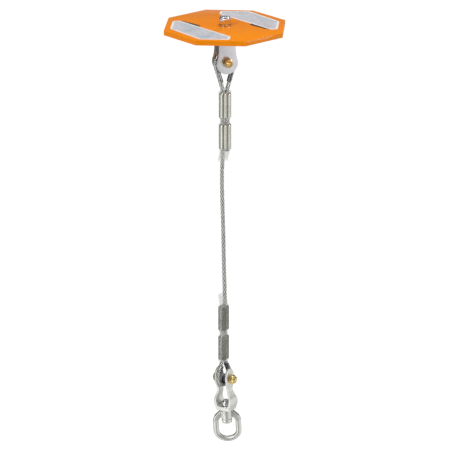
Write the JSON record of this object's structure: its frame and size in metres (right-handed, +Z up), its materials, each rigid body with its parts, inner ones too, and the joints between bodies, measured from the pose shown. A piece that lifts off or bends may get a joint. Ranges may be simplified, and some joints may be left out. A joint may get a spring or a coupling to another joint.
{
  "type": "swivel anchor pendant",
  "caption": "Octagonal bearing plate with a clevis swivelling under it, a short wire rope sling with crimped eyes, and a jaw-end swivel with an oblong ring for a connector.",
  "frame": {"origin": "centre of the plate's underside, on the axis of the centre stud: the face that bears on the deck", "axes": "+Z up along the stud; X and Y square to two pairs of the octagon's flats; the pendant hangs along -Z"},
  "size_m": [0.178, 0.178, 0.6985],
  "materials": {
    "orange_paint": "glossy orange powder coat",
    "label_film": "silver-grey film with a pale border, blank",
    "stainless": "bright rolled plate",
    "yellow_zinc": "yellow zinc plate",
    "nylon": "moulded",
    "rope_steel": "galvanised strand",
    "ferrule_aluminium": "swaged, dull grey",
    "clear_tube": "clear flexible tube",
    "forged_steel": "satin forged"
  },
  "bodies": {
    "plate": {"anchor_plate": "orange_paint", "label_left": "label_film", "label_right": "label_film", "thrust_washer": "stainless", "stud_washer": "stainless"},
    "clevis": {"upper_clevis": "stainless", "swivel_stud": "stainless", "stud_nut": "stainless", "stud_nut_ring": "nylon", "upper_bolt": "yellow_zinc", "upper_bolt_nut": "yellow_zinc", "upper_bolt_nut_ring": "nylon", "upper_spacer": "stainless"},
    "rope_top": {"upper_thimble": "stainless", "wire_rope_upper": "rope_steel", "ferrule_1": "ferrule_aluminium", "ferrule_2": "ferrule_aluminium", "upper_sleeve": "clear_tube"},
    "rope_bottom": {"wire_rope_lower": "rope_steel", "ferrule_3": "ferrule_aluminium", "ferrule_4": "ferrule_aluminium", "lower_sleeve": "clear_tube", "lower_thimble": "stainless"},
    "jaw": {"lower_jaw": "forged_steel", "lower_bolt": "yellow_zinc", "lower_bolt_nut": "yellow_zinc", "lower_bolt_nut_ring": "nylon", "lower_spacer": "stainless", "swivel_pin": "forged_steel", "swivel_nut": "stainless", "swivel_washer": "stainless"},
    "ring": {"swivel_ring": "forged_steel"}
  },
  "joints": [
    {"name": "clevis_swivel", "type": "hinge", "parent": "plate", "child": "clevis", "pos_m": [0, 0, 0], "axis": [0, 0, 1], "continuous": true},
    {"name": "upper_eye_pivot", "type": "hinge", "parent": "clevis", "child": "rope_top", "pos_m": [0, 0, -0.0485], "axis": [0.4226, -0.9063, 0], "range_deg": [-75, 75]},
    {"name": "rope_flex", "type": "hinge", "parent": "rope_top", "child": "rope_bottom", "pos_m": [-0.0025, 0.0005, -0.33], "axis": [0.9063, 0.4226, 0], "range_deg": [-50, 50], "stiffness_Nm_per_rad": 1},
    {"name": "lower_jaw_pivot", "type": "hinge", "parent": "rope_bottom", "child": "jaw", "pos_m": [-0.0009, -0.00075, -0.569], "axis": [0.8639, -0.4988, 0.0698], "range_deg": [-90, 90]},
    {"name": "ring_swivel", "type": "hinge", "parent": "jaw", "child": "ring", "pos_m": [-0.0009, -0.00075, -0.569], "axis": [-0.0604, 0.0349, 0.9976], "continuous": true}
  ]
}
